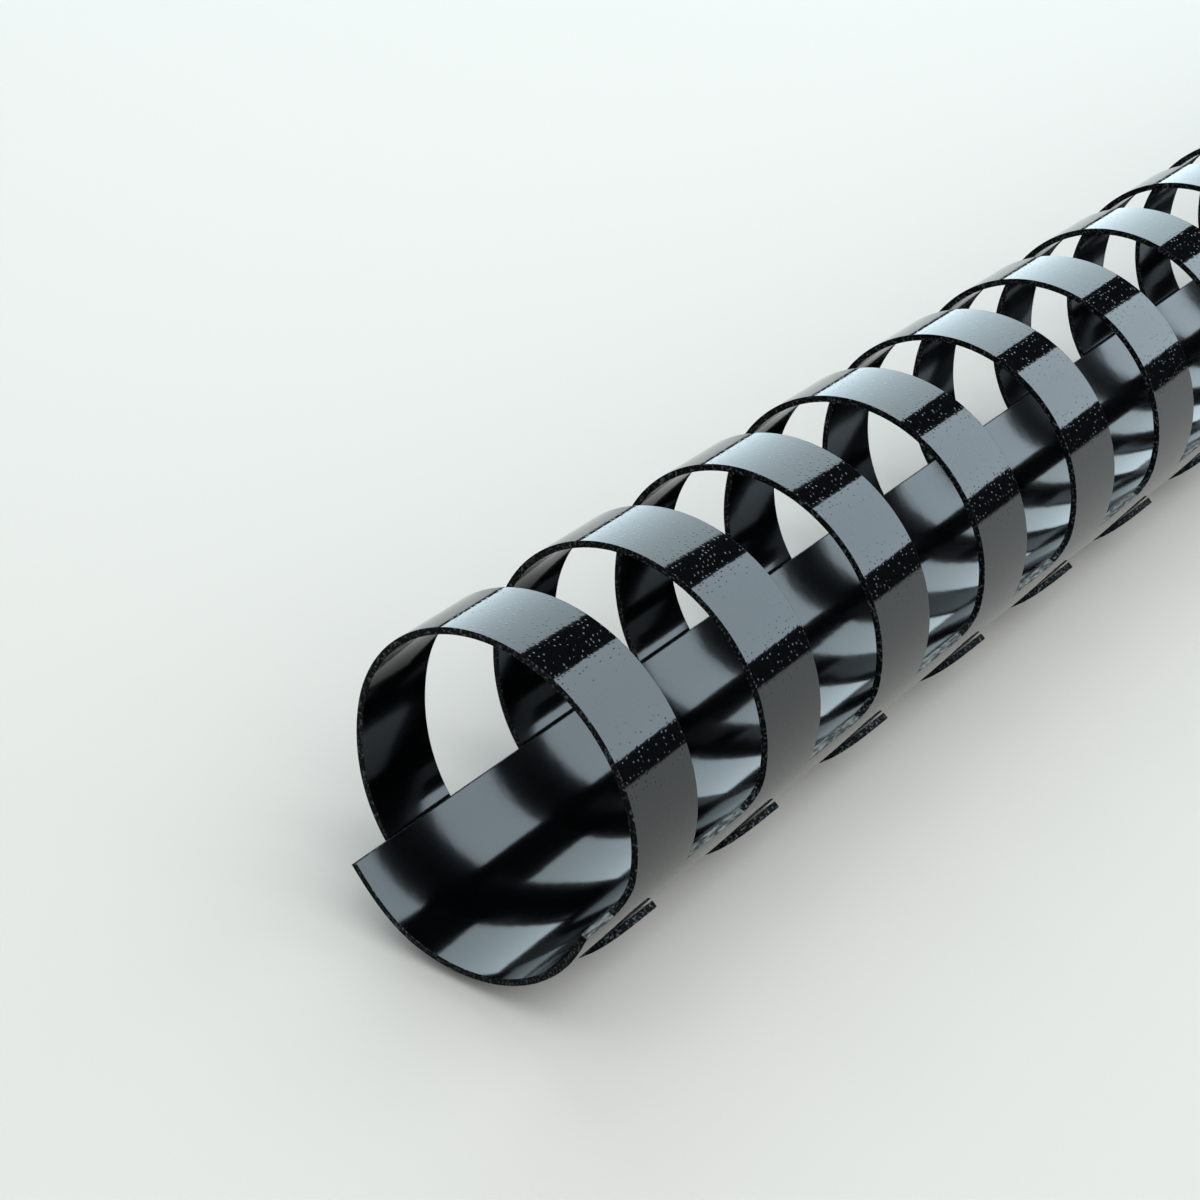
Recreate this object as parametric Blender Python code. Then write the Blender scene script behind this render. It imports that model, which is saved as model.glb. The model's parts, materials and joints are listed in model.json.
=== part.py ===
"""A plastic binding comb: a curved spine with a row of curled rings whose tails tuck under it.

Units are metres, +Z is up and the comb lies along X. Angles are in degrees about the comb's own axis:
0 points along +Y, 90 straight up. The sheet runs from the spine's free edge at 321 down to the root edge
at 200, and on along each ring over the top (90) and round to the tail's tip at -144, under the spine.
The spine is made as strips that lie side by side, so that each strip is nearly flat.
"""

import math

import bmesh
import bpy
from mathutils import Vector

# Rings, along X
RING_COUNT = 21
RING_PITCH = 0.0142875
RING_WIDTH = 0.00645
END_MARGIN = 0.0043

# Sheet and curl
SHEET_THICKNESS = 0.0005
CLEARANCE = 0.0003
COMB_RADIUS = 0.0116
TAIL_RADIUS = COMB_RADIUS + SHEET_THICKNESS + CLEARANCE

# Where each stretch of the sheet starts and ends, as angles about the comb's axis
SPINE_FREE_EDGE = 321.0
ROOT_EDGE = 200.0
SPREAD_START = 30.0
TAIL_HINGE = 10.0
SPREAD_END = -40.0
TAIL_TIP = -144.0

# Rounded corners of the sheet, as it lies flat
SPINE_CORNER = 0.0008
TIP_CORNER = 0.0022

# The spine's strips, the angle that each facet of a ring spans, and the steps of a rounded corner
SPINE_STRIPS = 6
FACETS_PER_STRIP = 2
FACET_ANGLE = 9.0
CORNER_STEPS = 3

COMB_LENGTH = (RING_COUNT - 1) * RING_PITCH + RING_WIDTH + 2 * END_MARGIN
HALF_LENGTH = COMB_LENGTH / 2
HALF_RING = RING_WIDTH / 2
HALF_GAP_ANGLE = math.degrees(CLEARANCE / 2 / COMB_RADIUS)
STRIP_ANGLE = (SPINE_FREE_EDGE - ROOT_EDGE) / SPINE_STRIPS
ROOT_HINGE = ROOT_EDGE - HALF_GAP_ANGLE

# Base colour and roughness of the black PVC of each kind of piece
PVC_FINISHES = {
    "spine_pvc": ((0.010, 0.010, 0.012, 1.0), 0.20),
    "ring_upper_pvc": ((0.012, 0.012, 0.014, 1.0), 0.22),
    "ring_tail_pvc": ((0.014, 0.014, 0.016, 1.0), 0.24),
}


def outer_radius(angle):
    """Outside radius of the sheet: the ring widens down its side so that the tail clears the spine."""
    share = (SPREAD_START - angle) / (SPREAD_START - SPREAD_END)
    share = min(max(share, 0.0), 1.0)
    return COMB_RADIUS + (TAIL_RADIUS - COMB_RADIUS) * share * share * (3 - 2 * share)


def spine_radius(angle):
    """The spine is the inner layer, on the comb's plain radius all the way."""
    return COMB_RADIUS


def around(angle, radius):
    """Y and Z of a point at this angle and radius, measured from the comb's axis."""
    turn = math.radians(angle)
    return radius * math.cos(turn), radius * math.sin(turn)


def facet_angles(start, end):
    """Angles from start down to end, with a facet line at every whole multiple of FACET_ANGLE between."""
    first = math.ceil(start / FACET_ANGLE) - 1
    last = math.floor(end / FACET_ANGLE) + 1
    return [start] + [step * FACET_ANGLE for step in range(first, last - 1, -1)] + [end]


def corner_angles(edge, towards, corner):
    """Angles of the steps of a rounded corner that starts at an edge of the sheet."""
    reach = math.degrees(corner / COMB_RADIUS)
    side = math.copysign(1.0, towards - edge)
    turns = [math.radians(90 * step / CORNER_STEPS) for step in range(1, CORNER_STEPS + 1)]
    return [edge + side * reach * (1 - math.cos(turn)) for turn in turns]


def corner_inset(angle, edge, corner):
    """How far a rounded corner pulls the sheet's side in, at this angle from the edge."""
    distance = abs(angle - edge) * math.pi / 180 * COMB_RADIUS
    if distance >= corner:
        return 0.0
    return corner - math.sqrt(corner ** 2 - (corner - distance) ** 2)


# The comb's axis is placed so that the whole comb is centred on X = Y = 0 and rests on Z = 0
WIDEST_SIDE = max(around(angle, outer_radius(angle))[0] for angle in facet_angles(TAIL_HINGE, TAIL_TIP))
COMB_AXIS = Vector((0.0, (COMB_RADIUS - WIDEST_SIDE) / 2, TAIL_RADIUS))


class Skin:
    """The outside face of one piece of sheet, made of flat facets between lines that run along X."""

    def __init__(self, radius, origin):
        self.mesh = bmesh.new()
        self.radius = radius
        self.origin = origin
        self.corners = {}

    def corner(self, x, angle):
        key = (round(x, 7), round(angle, 4))
        if key not in self.corners:
            y, z = around(angle, self.radius(angle))
            place = COMB_AXIS + Vector((x, y, z)) - self.origin
            self.corners[key] = self.mesh.verts.new(place)
        return self.corners[key]

    def facet(self, outline):
        """One facet, from its (x, angle) corners in order, anticlockwise as seen from outside."""
        self.mesh.faces.new([self.corner(x, angle) for x, angle in outline])

    def rows(self, angles, span):
        """A facet between each two angles. span(angle) gives where the sheet starts and ends along X."""
        for upper, lower in zip(angles, angles[1:]):
            (upper_start, upper_end), (lower_start, lower_end) = span(upper), span(lower)
            self.facet([(upper_start, upper), (lower_start, lower), (lower_end, lower), (upper_end, upper)])

    def to_mesh(self, name):
        bmesh.ops.recalc_face_normals(self.mesh, faces=self.mesh.faces)
        if sum(self.outwardness(face) for face in self.mesh.faces) < 0:
            bmesh.ops.reverse_faces(self.mesh, faces=self.mesh.faces)
        data = bpy.data.meshes.new(name)
        self.mesh.to_mesh(data)
        self.mesh.free()
        return data

    def outwardness(self, face):
        centre = face.calc_center_median() + self.origin - COMB_AXIS
        return face.normal.y * centre.y + face.normal.z * centre.z


def clear_scene():
    for old in list(bpy.data.objects):
        bpy.data.objects.remove(old, do_unlink=True)


def pvc(name):
    """Black PVC, moulded glossy."""
    colour, roughness = PVC_FINISHES[name]
    material = bpy.data.materials.new(name)
    material.use_nodes = True
    shader = material.node_tree.nodes["Principled BSDF"]
    shader.inputs["Base Color"].default_value = colour
    shader.inputs["Roughness"].default_value = roughness
    shader.inputs["Metallic"].default_value = 0.0
    return material


def place_sheet(name, data, location, parent=None):
    """An object whose skin is thickened inwards to the sheet's thickness."""
    sheet = bpy.data.objects.new(name, data)
    bpy.context.scene.collection.objects.link(sheet)
    sheet.parent = parent
    sheet.location = location - (parent.matrix_world.translation if parent else Vector())
    thickness = sheet.modifiers.new("sheet_thickness", "SOLIDIFY")
    thickness.thickness = SHEET_THICKNESS
    thickness.offset = -1.0
    thickness.use_even_offset = True
    bpy.context.view_layer.update()
    return sheet


def ring_centre(index):
    return -HALF_LENGTH + END_MARGIN + HALF_RING + index * RING_PITCH


def hinge_point(angle):
    """A ring's bending line, on the outside of the sheet, relative to the ring's own centre along X."""
    y, z = around(angle, outer_radius(angle))
    return COMB_AXIS + Vector((0.0, y, z))


def strip_angles(index):
    """Facet lines of one strip of the spine, from its upper edge down to its lower one."""
    first = ROOT_EDGE + index * STRIP_ANGLE + (HALF_GAP_ANGLE if index > 0 else 0.0)
    last = ROOT_EDGE + (index + 1) * STRIP_ANGLE - (HALF_GAP_ANGLE if index < SPINE_STRIPS - 1 else 0.0)
    return [last + (first - last) * step / FACETS_PER_STRIP for step in range(FACETS_PER_STRIP + 1)]


def strip_span(angle):
    """A strip runs the whole length of the comb, and the root strip has rounded corners."""
    inset = corner_inset(angle, ROOT_EDGE, SPINE_CORNER)
    return -HALF_LENGTH + inset, HALF_LENGTH - inset


def strip_mesh(index):
    skin = Skin(spine_radius, Vector())
    angles = strip_angles(index)
    if index == 0:
        angles[-1:] = corner_angles(ROOT_EDGE, SPINE_FREE_EDGE, SPINE_CORNER)[::-1] + [ROOT_EDGE]
    skin.rows(angles, strip_span)
    return skin.to_mesh(f"spine_strip_{index + 1}")


def ring_span(angle):
    """A ring is a plain strip, with rounded corners at its tip."""
    inset = corner_inset(angle, TAIL_TIP, TIP_CORNER)
    return -HALF_RING + inset, HALF_RING - inset


def ring_upper_mesh():
    skin = Skin(outer_radius, hinge_point(ROOT_HINGE))
    skin.rows(facet_angles(ROOT_HINGE - HALF_GAP_ANGLE, TAIL_HINGE + HALF_GAP_ANGLE), ring_span)
    return skin.to_mesh("ring_upper")


def ring_tail_mesh():
    skin = Skin(outer_radius, hinge_point(TAIL_HINGE))
    tip = corner_angles(TAIL_TIP, TAIL_HINGE, TIP_CORNER)
    skin.rows(facet_angles(TAIL_HINGE - HALF_GAP_ANGLE, tip[-1]), ring_span)
    skin.rows(tip[::-1] + [TAIL_TIP], ring_span)
    return skin.to_mesh("ring_tail")


def build_comb():
    strips = [strip_mesh(index) for index in range(SPINE_STRIPS)]
    upper_data, tail_data = ring_upper_mesh(), ring_tail_mesh()
    spine_finish = pvc("spine_pvc")
    for strip_data in strips:
        strip_data.materials.append(spine_finish)
    upper_data.materials.append(pvc("ring_upper_pvc"))
    tail_data.materials.append(pvc("ring_tail_pvc"))

    root_strip = place_sheet("spine_strip_1", strips[0], Vector())
    for index in range(1, SPINE_STRIPS):
        place_sheet(f"spine_strip_{index + 1}", strips[index], Vector(), root_strip)
    for index in range(RING_COUNT):
        along = Vector((ring_centre(index), 0.0, 0.0))
        name = f"ring_{index + 1:02d}"
        upper = place_sheet(f"{name}_upper", upper_data, along + hinge_point(ROOT_HINGE), root_strip)
        place_sheet(f"{name}_tail", tail_data, along + hinge_point(TAIL_HINGE), upper)


clear_scene()
build_comb()
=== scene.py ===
"""The looks of a black plastic binding comb: glossy PVC sheet, embossed outside and smooth inside.

The whole comb is laid out flat as one sheet of quads in (x, angle) and then curled and thickened,
so the spine and the rings meet without a seam. The sheet is cut into one piece for each moving
stretch. Angles are in degrees about the comb's own axis: 0 points along +Y and 90 straight up. The
spine runs from its free edge at 321 down to the root edge at 200, and each ring runs on from there
to its tip at -141.5.
"""

import json
import math

import bpy
from mathutils import Matrix, Vector


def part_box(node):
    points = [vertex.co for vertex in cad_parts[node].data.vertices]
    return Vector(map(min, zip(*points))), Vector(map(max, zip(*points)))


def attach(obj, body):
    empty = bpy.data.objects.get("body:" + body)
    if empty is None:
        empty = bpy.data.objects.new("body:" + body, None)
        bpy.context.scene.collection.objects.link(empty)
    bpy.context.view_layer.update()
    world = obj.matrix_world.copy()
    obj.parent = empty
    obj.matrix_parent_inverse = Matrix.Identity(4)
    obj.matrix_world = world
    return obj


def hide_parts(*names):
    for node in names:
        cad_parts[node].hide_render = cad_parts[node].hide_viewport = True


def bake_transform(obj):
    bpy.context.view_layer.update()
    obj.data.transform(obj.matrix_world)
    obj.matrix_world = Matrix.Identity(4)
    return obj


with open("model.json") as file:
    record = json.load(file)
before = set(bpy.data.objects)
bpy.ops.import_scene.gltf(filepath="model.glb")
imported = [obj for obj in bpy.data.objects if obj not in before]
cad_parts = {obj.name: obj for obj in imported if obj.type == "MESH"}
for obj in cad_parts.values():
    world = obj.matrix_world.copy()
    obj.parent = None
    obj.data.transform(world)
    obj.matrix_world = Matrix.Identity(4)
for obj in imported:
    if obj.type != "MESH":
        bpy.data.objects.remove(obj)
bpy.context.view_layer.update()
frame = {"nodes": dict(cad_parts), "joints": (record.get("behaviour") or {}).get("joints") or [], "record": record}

# Sizes that the solids don't state, in metres
COMB_RADIUS = 0.0116
TAIL_RADIUS = 0.0124
TIP_RADIUS = 0.01222
SHEET_THICKNESS = 0.0005
EDGE_ROUNDING = 0.00005
ROOT_FILLET = 0.0020
SPINE_CORNER = 0.0006
SKEWED_CUT = 0.00038
TIP_NEAR_CORNER = 0.0035
TIP_FAR_CORNER = 0.0003
TIP_NARROWING = 0.0013

# Stretches of the sheet, as angles in degrees
SPINE_FREE_EDGE = 321.0
SKEW_START = 285.0
ROOT_EDGE = 200.0
ROOT_CUT_ANGLE = 1.0
PIECE_SEAM = 60.0
SPREAD_START = 10.0
SPREAD_END = -50.0
TIP_CURL_START = -95.0
TAIL_TIP = -141.5
TIP_NARROWING_RUN = 35.0

# Fineness of the mesh: steps along the sheet in degrees, and counts
SPINE_STEP = 2.5
RING_STEP = 2.0
NORMAL_STEP = 0.05
RIM_TURNS = (0, 30, 60, 90)
MITRE_LIMIT = 1.6
RING_COLUMNS = 5
GAP_COLUMNS = 4
CORNER_STEPS = 6

RING_COUNT = sum(name.endswith("_upper") for name in frame["nodes"])
RING_NAMES = [f"ring_{index + 1:02d}" for index in range(RING_COUNT)]


# Materials
REFRACTIVE_INDEX = 1.54
SHEET_MAP = "sheet"

# Sockets that share their names with others, by number
MIX_FACTOR, MIX_FIRST, MIX_SECOND, MIX_COLOUR = 0, 6, 7, 2
RANGE_VECTOR, RANGE_FROM_MIN, RANGE_FROM_MAX, RANGE_TO_MIN, RANGE_TO_MAX = 6, 7, 8, 9, 10
RANGE_RESULT = 1


def joint_point(name):
    """Where a joint of the frame is."""
    return Vector(next(joint["pos_m"] for joint in frame["joints"] if joint["name"] == name))


upper_low, upper_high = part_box("ring_01_upper")
AXIS_Y = upper_low.y + COMB_RADIUS
AXIS_Z = upper_high.z - COMB_RADIUS
RING_WIDTH = upper_high.x - upper_low.x
RING_CENTRES = [joint_point(f"{name}_open").x for name in RING_NAMES]
SPINE_NODES = frame["record"]["behaviour"]["bodies"]["spine"]
SPINE_START, SPINE_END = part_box(SPINE_NODES[0])[0].x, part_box(SPINE_NODES[0])[1].x


# ---------------------------------------------------------------- the curled shape

def smooth_share(value, start, end):
    """0 at start, 1 at end, with a smooth run between."""
    share = min(max((value - start) / (end - start), 0.0), 1.0)
    return share * share * (3 - 2 * share)


def sheet_radius(angle):
    """Outside radius of the curled sheet."""
    spread = (TAIL_RADIUS - COMB_RADIUS) * smooth_share(angle, SPREAD_START, SPREAD_END)
    curl = (TIP_RADIUS - TAIL_RADIUS) * smooth_share(angle, TIP_CURL_START, TAIL_TIP)
    return COMB_RADIUS + spread + curl


def curled(x, angle, depth=0.0):
    """A point of the sheet in the row frame, this deep below its outer face."""
    turn = math.radians(angle)
    radius = sheet_radius(angle) - depth
    return Vector((x, AXIS_Y + radius * math.cos(turn), AXIS_Z + radius * math.sin(turn)))


def outward(x, angle):
    """The outer face's normal."""
    along = curled(x, angle + NORMAL_STEP) - curled(x, angle - NORMAL_STEP)
    return Vector((0.0, along.z, -along.y)).normalized()


def degrees_for(length):
    """The angle that a length along the sheet takes up."""
    return math.degrees(length / COMB_RADIUS)


# ---------------------------------------------------------------- the flat sheet

def angles_between(start, end, step):
    """Evenly spaced angles from start to end, both included."""
    return split(start, end, max(1, math.ceil(abs(end - start) / step)))


def arc_angles(edge, towards, radius):
    """Angles of the steps of a rounded corner, from the edge of the sheet inwards."""
    reach = math.copysign(degrees_for(radius), towards - edge)
    turns = [math.pi / 2 * index / CORNER_STEPS for index in range(CORNER_STEPS + 1)]
    return [edge + reach * (1 - math.cos(turn)) for turn in turns]


def arc_inset(angle, edge, radius):
    """How far a rounded corner pulls the side in, at this angle from the edge."""
    distance = math.radians(abs(angle - edge)) * COMB_RADIUS
    return 0.0 if distance >= radius else radius - math.sqrt(radius ** 2 - (radius - distance) ** 2)


class FlatSheet:
    """Quads between (x, angle) points. Each quad belongs to one piece."""

    def __init__(self):
        self.places = []
        self.numbers = {}
        self.quads = []

    def point(self, x, angle):
        """The number of the point here, which is made if it isn't there yet."""
        key = (round(x, 7), round(angle, 4))
        if key not in self.numbers:
            self.numbers[key] = len(self.places)
            self.places.append((x, angle))
        return self.numbers[key]

    def grid(self, piece, angles, columns):
        """Rows of quads. columns(angle) lists the x of each column at that angle."""
        rows = [[self.point(x, angle) for x in columns(angle)] for angle in angles]
        for upper, lower in zip(rows, rows[1:]):
            for left in range(len(upper) - 1):
                quad = (upper[left], upper[left + 1], lower[left + 1], lower[left])
                self.quads.append((piece, quad))

    def rims(self):
        """The outline's edges, and for each point on it the way out as (x, along, mitre)."""
        owners = {}
        for piece, quad in self.quads:
            for start, end in zip(quad, quad[1:] + quad[:1]):
                owners.setdefault(frozenset((start, end)), []).append((piece, start, end))
        edges = [found[0] for found in owners.values() if len(found) == 1]
        ways = {}
        for _, start, end in edges:
            (x0, a0), (x1, a1) = self.places[start], self.places[end]
            dx, ds = x1 - x0, math.radians(a1 - a0) * COMB_RADIUS
            length = math.hypot(dx, ds)
            for number in (start, end):
                ways.setdefault(number, []).append((-ds / length, dx / length))
        out = {}
        for number, sides in ways.items():
            sx, ss = sum(side[0] for side in sides), sum(side[1] for side in sides)
            size = math.hypot(sx, ss)
            out[number] = (sx / size, ss / size, min(2 / size, MITRE_LIMIT))
        return edges, out


def ring_edges(centre, angle):
    """Where a ring starts and ends along X, with its root fillet and its shaped tip."""
    half = RING_WIDTH / 2
    fillet = arc_inset(angle, ROOT_EDGE, ROOT_FILLET)
    narrowing = TIP_NARROWING * smooth_share(angle, TAIL_TIP + TIP_NARROWING_RUN, TAIL_TIP)
    near = -half - fillet + narrowing / 2 + arc_inset(angle, TAIL_TIP, TIP_NEAR_CORNER)
    far = half - narrowing - arc_inset(angle, TAIL_TIP, TIP_FAR_CORNER)
    return centre + near, centre + far


def split(start, end, count):
    """Evenly spaced values from start to end, both included."""
    return [start + (end - start) * index / count for index in range(count + 1)]


def spine_columns(angle):
    """Column lines of the spine: they match the rings' own at the root edge."""
    skew = SKEWED_CUT * smooth_share(angle, SKEW_START, SPINE_FREE_EDGE)
    corner = arc_inset(angle, ROOT_EDGE, SPINE_CORNER) + skew
    lines = [SPINE_START + corner]
    for centre in RING_CENTRES:
        near, far = ring_edges(centre, ROOT_EDGE)
        lines += split(lines[-1], near, GAP_COLUMNS)[1:]
        lines += split(near, far, RING_COLUMNS)[1:]
    lines += split(lines[-1], SPINE_END - corner, GAP_COLUMNS)[1:]
    return lines


def lay_out():
    """The whole comb as a flat sheet: the spine, then a rise and a curl for each ring."""
    sheet = FlatSheet()
    at_root = arc_angles(ROOT_EDGE, SPINE_FREE_EDGE, SPINE_CORNER)
    middle = angles_between(SPINE_FREE_EDGE, at_root[-1], SPINE_STEP)
    sheet.grid("spine_sheet", middle[:-1] + at_root[::-1], spine_columns)

    fillet = arc_angles(ROOT_EDGE, PIECE_SEAM, ROOT_FILLET)
    rise = fillet + angles_between(fillet[-1], PIECE_SEAM, RING_STEP)[1:]
    near_corner = arc_angles(TAIL_TIP, PIECE_SEAM, TIP_NEAR_CORNER)
    far_corner = arc_angles(TAIL_TIP, PIECE_SEAM, TIP_FAR_CORNER)
    tip_steps = sorted(set(near_corner + far_corner))
    fall = angles_between(PIECE_SEAM, tip_steps[-1], RING_STEP)[:-1] + tip_steps[::-1]
    for name, centre in zip(RING_NAMES, RING_CENTRES):
        def columns(angle, centre=centre):
            return split(*ring_edges(centre, angle), RING_COLUMNS)
        sheet.grid(f"{name}_rise", rise, columns)
        sheet.grid(f"{name}_curl", fall, columns)
    return sheet


# ---------------------------------------------------------------- the thick sheet

def rim_profile():
    """Steps round the sheet's edge from the outer face to the inner: (way out, depth, turn)."""
    steps = []
    for turn in RIM_TURNS:
        angle = math.radians(turn)
        out = EDGE_ROUNDING * (math.sin(angle) - 1)
        steps.append((out, EDGE_ROUNDING * (1 - math.cos(angle)), turn))
    mirrored = [(out, SHEET_THICKNESS - depth, 180 - turn) for out, depth, turn in reversed(steps)]
    return steps + mirrored


RIM = rim_profile()
OUTER, EDGE, INNER, ROOT_CUT = 0, 1, 2, 3


def build_pieces(sheet, materials):
    """One mesh object for each piece of the sheet."""
    edges, ways_out = sheet.rims()
    edges_of = {}
    for piece, start, end in edges:
        edges_of.setdefault(piece, []).append((start, end))
    quads_of = {}
    for piece, quad in sheet.quads:
        quads_of.setdefault(piece, []).append(quad)

    def vertex(number, step):
        """Place, normal and flat place. Step 0 is the outer face, and the last is the inner."""
        x, angle = sheet.places[number]
        out, depth, turn = RIM[step]
        normal = outward(x, angle)
        if number not in ways_out:
            return curled(x, angle, depth), normal if step == 0 else -normal, (x, angle)
        way_x, way_s, mitre = ways_out[number]
        x += way_x * out * mitre
        angle += degrees_for(way_s * out * mitre)
        along = Vector((0.0, -normal.z, normal.y))
        sideways = Vector((way_x, 0.0, 0.0)) + along * way_s
        tilt = math.radians(turn)
        tilted = normal * math.cos(tilt) + sideways * math.sin(tilt)
        return curled(x, angle, depth), tilted, (x, angle)

    built = []
    last = len(RIM) - 1
    for piece, quads in quads_of.items():
        numbers, points, normals, flats, faces, kinds = {}, [], [], [], [], []

        def index(number, step):
            if (number, step) not in numbers:
                numbers[number, step] = len(points)
                place, normal, flat = vertex(number, step)
                points.append(place)
                normals.append(normal)
                flats.append(flat)
            return numbers[number, step]

        for quad in quads:
            faces.append([index(number, 0) for number in quad])
            kinds.append(OUTER)
            faces.append([index(number, last) for number in reversed(quad)])
            kinds.append(INNER)
        for start, end in edges_of.get(piece, []):
            angles = [sheet.places[number][1] for number in (start, end)]
            at_root = all(abs(angle - ROOT_EDGE) < ROOT_CUT_ANGLE for angle in angles)
            for step in range(last):
                outer_side = [index(end, step), index(start, step)]
                faces.append(outer_side + [index(start, step + 1), index(end, step + 1)])
                kinds.append(ROOT_CUT if at_root else EDGE)
        mesh = bpy.data.meshes.new(piece)
        mesh.from_pydata(points, [], faces)
        mesh.update()
        for material in materials:
            mesh.materials.append(material)
        mesh.polygons.foreach_set("material_index", kinds)
        mesh.polygons.foreach_set("use_smooth", [True] * len(faces))
        uv = mesh.uv_layers.new(name=SHEET_MAP)
        for loop in mesh.loops:
            x, angle = flats[loop.vertex_index]
            uv.data[loop.index].uv = (x, math.radians(angle) * COMB_RADIUS)
        mesh.normals_split_custom_set_from_vertices(normals)
        built.append(bpy.data.objects.new(piece, mesh))
        bpy.context.scene.collection.objects.link(built[-1])
    return {made.name: made for made in built}


# ---------------------------------------------------------------- materials

def new_material(name, colour, roughness):
    """A material, with its nodes, its links and its shader."""
    material = bpy.data.materials.new(name)
    material.use_nodes = True
    nodes = material.node_tree.nodes
    shader = nodes["Principled BSDF"]
    shader.inputs["Base Color"].default_value = (*colour, 1.0)
    shader.inputs["Roughness"].default_value = roughness
    shader.inputs["IOR"].default_value = REFRACTIVE_INDEX
    return material, nodes, material.node_tree.links, shader


def add_node(nodes, kind, **values):
    """A new node. The values are those of its inputs, with _ for each space."""
    node = nodes.new(f"ShaderNode{kind}")
    for name, value in values.items():
        node.inputs[name.replace("_", " ")].default_value = value
    return node


def add_sheet_place(nodes):
    """Where the surface lies on the flat sheet, in metres."""
    where = add_node(nodes, "UVMap")
    where.uv_map = SHEET_MAP
    return where.outputs["UV"]


def add_noise(nodes, links, place, scale, detail):
    """Flat noise over the sheet."""
    noise = add_node(nodes, "TexNoise", Scale=scale, Detail=detail)
    noise.noise_dimensions = "2D"
    links.new(place, noise.inputs["Vector"])
    return noise.outputs["Fac"]


def add_relief(nodes, links, shader, height, distance):
    """Raises the surface by height times distance, in metres."""
    bump = add_node(nodes, "Bump", Distance=distance)
    links.new(height, bump.inputs["Height"])
    links.new(bump.outputs["Normal"], shader.inputs["Normal"])


def pvc_outer():
    """Outer face: high gloss, embossed with a fine grain of small domes."""
    dark, pale = (0.0006, 0.0006, 0.0007), (0.004, 0.0042, 0.0044)
    material, nodes, links, shader = new_material("pvc_outer", dark, 0.05)
    place = add_sheet_place(nodes)

    dots = add_node(nodes, "TexVoronoi", Scale=2500.0, Randomness=0.7)
    dots.voronoi_dimensions = "2D"
    links.new(place, dots.inputs["Vector"])
    dome = add_node(nodes, "MapRange", From_Min=0.03, From_Max=0.22, To_Min=1.0, To_Max=0.0)
    dome.interpolation_type = "SMOOTHSTEP"
    links.new(dots.outputs["Distance"], dome.inputs["Value"])

    # Each cell's own random colour leaves some cells without a dome
    chance = add_node(nodes, "SeparateColor")
    links.new(dots.outputs["Color"], chance.inputs["Color"])
    share = add_node(nodes, "MapRange", From_Min=0.4)
    links.new(chance.outputs["Red"], share.inputs["Value"])
    grain = add_node(nodes, "Math")
    grain.operation = "MULTIPLY"
    links.new(dome.outputs["Result"], grain.inputs[0])
    links.new(share.outputs["Result"], grain.inputs[1])

    # A shallow unevenness lies under the grain
    height = add_node(nodes, "Math")
    height.operation = "MULTIPLY_ADD"
    height.inputs[1].default_value = 0.20
    links.new(add_noise(nodes, links, place, 1800.0, 2.0), height.inputs[0])
    links.new(grain.outputs["Value"], height.inputs[2])
    add_relief(nodes, links, shader, height.outputs["Value"], 0.000011)

    # Painted sheen: the base colour is paler on the dome tops and the raised unevenness, for the light that the
    # grain catches
    painted_sheen = add_node(nodes, "Mix")
    painted_sheen.data_type = "RGBA"
    painted_sheen.inputs[MIX_FIRST].default_value = (*dark, 1.0)
    painted_sheen.inputs[MIX_SECOND].default_value = (*pale, 1.0)
    links.new(height.outputs["Value"], painted_sheen.inputs[MIX_FACTOR])
    links.new(painted_sheen.outputs[MIX_COLOUR], shader.inputs["Base Color"])
    return material


def pvc_inner():
    """Inner face: smooth and glossy, with the slight waviness of moulded sheet."""
    material, nodes, links, shader = new_material("pvc_inner", (0.0003, 0.0003, 0.0004), 0.085)
    waves = add_noise(nodes, links, add_sheet_place(nodes), 350.0, 2.0)
    add_relief(nodes, links, shader, waves, 0.000005)
    return material


def pvc_cut(name, stretch, patches, darkest, painted_highlight, specular, glossiest):
    """A punched edge: dull and torn, with patches that are paler and glossier.

    stretch draws the texture out along the comb, and patches are the values of the noise at which
    a patch begins and is at its palest. The paler colour of the patches is painted glints of light.
    """
    dullest = 0.6
    material, nodes, links, shader = new_material(name, darkest, dullest)
    shader.inputs["Specular IOR Level"].default_value = specular
    where = add_node(nodes, "TexCoord")
    drawn = add_node(nodes, "Mapping", Scale=(1 / stretch, 1.0, 1.0))
    links.new(where.outputs["Object"], drawn.inputs["Vector"])
    noise = add_node(nodes, "TexNoise", Scale=5000.0, Detail=3.0)
    links.new(drawn.outputs["Vector"], noise.inputs["Vector"])
    add_relief(nodes, links, shader, noise.outputs["Fac"], 0.00011)

    # Base colour from the dark plastic to the paler patches: the paler patches are painted glints of light on the
    # torn edge
    tint = add_node(nodes, "MapRange")
    tint.data_type = "FLOAT_VECTOR"
    tint.inputs[RANGE_FROM_MIN].default_value = [patches[0]] * 3
    tint.inputs[RANGE_FROM_MAX].default_value = [patches[1]] * 3
    tint.inputs[RANGE_TO_MIN].default_value = darkest
    tint.inputs[RANGE_TO_MAX].default_value = painted_highlight
    links.new(noise.outputs["Fac"], tint.inputs[RANGE_VECTOR])
    links.new(tint.outputs[RANGE_RESULT], shader.inputs["Base Color"])

    gloss = add_node(
        nodes, "MapRange", From_Min=0.52, From_Max=0.66, To_Min=dullest, To_Max=glossiest
    )
    links.new(noise.outputs["Fac"], gloss.inputs["Value"])
    links.new(gloss.outputs["Result"], shader.inputs["Roughness"])
    return material


# ---------------------------------------------------------------- the comb

outer_face = pvc_outer()
cut_edge = pvc_cut(
    "pvc_cut_edge",
    stretch=1.0,
    patches=(0.54, 0.70),
    darkest=(0.0003, 0.0003, 0.0004),
    painted_highlight=(0.050, 0.050, 0.052),
    specular=0.05,
    glossiest=0.12,
)
inner_face = pvc_inner()
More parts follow.
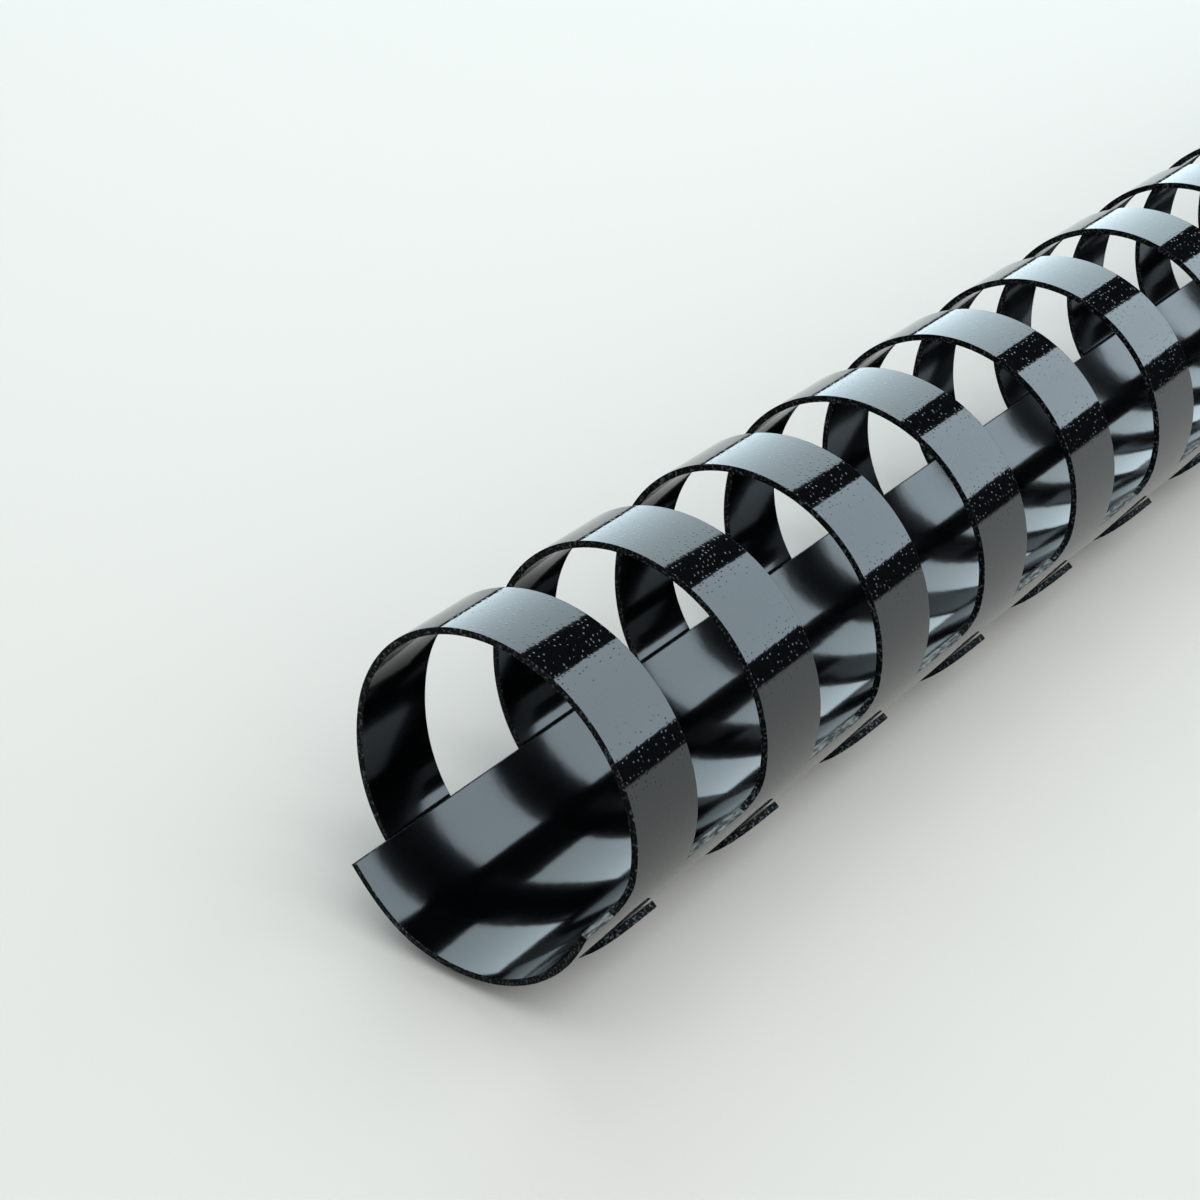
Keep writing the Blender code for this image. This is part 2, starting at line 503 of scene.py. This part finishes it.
# The root cut is a lighter copy of the cut edge: painted light, for the light that this upward-facing cut catches
# from behind
root_cut = pvc_cut(
    "pvc_root_cut_painted_lit",
    stretch=4.0,
    patches=(0.40, 0.65),
    darkest=(0.016, 0.015, 0.014),
    painted_highlight=(0.092, 0.084, 0.077),
    specular=0.07,
    glossiest=0.30,
)
# In the order of the numbers OUTER, EDGE, INNER and ROOT_CUT
pieces = build_pieces(lay_out(), [outer_face, cut_edge, inner_face, root_cut])

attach(pieces["spine_sheet"], "spine")
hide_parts(*SPINE_NODES)
for name in RING_NAMES:
    rise, curl = pieces[f"{name}_rise"], pieces[f"{name}_curl"]
    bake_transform(rise)
    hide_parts(f"{name}_upper")
    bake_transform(curl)
    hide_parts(f"{name}_tail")


# ---------------------------------------------------------------- studio

def make_floor():
    """A pale floor. Its warm tint cancels the cool tint of the lights."""
    half = 12.0
    corners = [(-half, -half, 0), (half, -half, 0), (half, half, 0), (-half, half, 0)]
    mesh = bpy.data.meshes.new("floor")
    mesh.from_pydata(corners, [], [(0, 1, 2, 3)])
    floor = bpy.data.objects.new("floor", mesh)
    bpy.context.scene.collection.objects.link(floor)
    mesh.materials.append(new_material("floor_white", (0.315, 0.253, 0.222), 0.6)[0])


def make_panel(name, azimuth, distance, left, right, bottom, top, radiance, colour):
    """An upright soft light that stands in the direction azimuth.

    azimuth, left, right, bottom and top are in degrees as seen from the first ring.
    """
    base = Vector((RING_CENTRES[0], AXIS_Y, AXIS_Z))
    turn = math.radians(azimuth)
    ahead = Vector((math.cos(turn), math.sin(turn), 0.0))
    side = Vector((-math.sin(turn), math.cos(turn), 0.0))
    across = [distance * math.tan(math.radians(edge - azimuth)) for edge in (right, left)]
    up = [distance * math.tan(math.radians(edge)) for edge in (bottom, top)]
    light = bpy.data.lights.new(name, "AREA")
    light.shape = "RECTANGLE"
    light.size = across[1] - across[0]
    light.size_y = up[1] - up[0]
    light.energy = radiance * math.pi * light.size * light.size_y
    light.color = colour
    panel = bpy.data.objects.new(name, light)
    bpy.context.scene.collection.objects.link(panel)
    place = base + ahead * distance + side * sum(across) / 2 + Vector((0, 0, sum(up) / 2))
    turned = Matrix((side, (0, 0, 1), ahead)).transposed().to_4x4()
    panel.matrix_world = Matrix.Translation(place) @ turned


def make_ceiling(height, size, radiance, colour):
    """A square soft light above the first ring."""
    light = bpy.data.lights.new("ceiling", "AREA")
    light.size = size
    light.energy = radiance * math.pi * size ** 2
    light.color = colour
    panel = bpy.data.objects.new("ceiling", light)
    bpy.context.scene.collection.objects.link(panel)
    panel.location = (RING_CENTRES[0], AXIS_Y, height)


def make_camera():
    """The camera looks along the comb from in front of the first ring."""
    near = Vector((RING_CENTRES[0] - RING_WIDTH / 2, AXIS_Y, AXIS_Z))
    data = bpy.data.cameras.new("camera")
    data.lens = 73.5
    data.sensor_width = 36.0
    data.clip_start = 0.01
    data.clip_end = 50.0
    camera = bpy.data.objects.new("camera", data)
    bpy.context.scene.collection.objects.link(camera)
    camera.location = near + Vector((-0.09921, -0.08415, 0.08846))
    look = Vector((0.6911, 0.5256, -0.4961))
    camera.rotation_euler = look.to_track_quat("-Z", "Y").to_euler()
    bpy.context.scene.camera = camera


def make_world():
    """A pale room that fills the shadows. Gloss sees it dark, as the gaps between windows are."""
    pale, backdrop, gaps = (0.632, 0.80, 0.864), (0.200, 0.209, 0.198), (0.011, 0.012, 0.012)
    world = bpy.data.worlds.new("room")
    world.use_nodes = True
    nodes, links = world.node_tree.nodes, world.node_tree.links
    path = add_node(nodes, "LightPath")
    to_camera, to_gloss = add_node(nodes, "Mix"), add_node(nodes, "Mix")
    rays = (to_camera, "Is Camera Ray", backdrop), (to_gloss, "Is Glossy Ray", gaps)
    for mix, ray, seen in rays:
        mix.data_type = "RGBA"
        links.new(path.outputs[ray], mix.inputs[MIX_FACTOR])
        mix.inputs[MIX_SECOND].default_value = (*seen, 1.0)
    to_camera.inputs[MIX_FIRST].default_value = (*pale, 1.0)
    links.new(to_camera.outputs[MIX_COLOUR], to_gloss.inputs[MIX_FIRST])
    links.new(to_gloss.outputs[MIX_COLOUR], nodes["Background"].inputs["Color"])
    bpy.context.scene.world = world


make_floor()
make_panel("window_right", -45, 1.5, -8, -66, 12.5, 58, 3.9, (0.82, 1.0, 1.12))
make_panel("window_back", 50, 1.5, 66, 7, 2.5, 48, 3.5, (0.76, 0.94, 1.02))
make_panel("fill_side", -104, 2.0, -68, -140, 12, 70, 6.0, (0.79, 1.0, 1.08))
make_ceiling(1.6, 1.6, 2.6, (0.78, 1.0, 1.06))
make_camera()
make_world()
bpy.context.scene.view_settings.view_transform = "Standard"
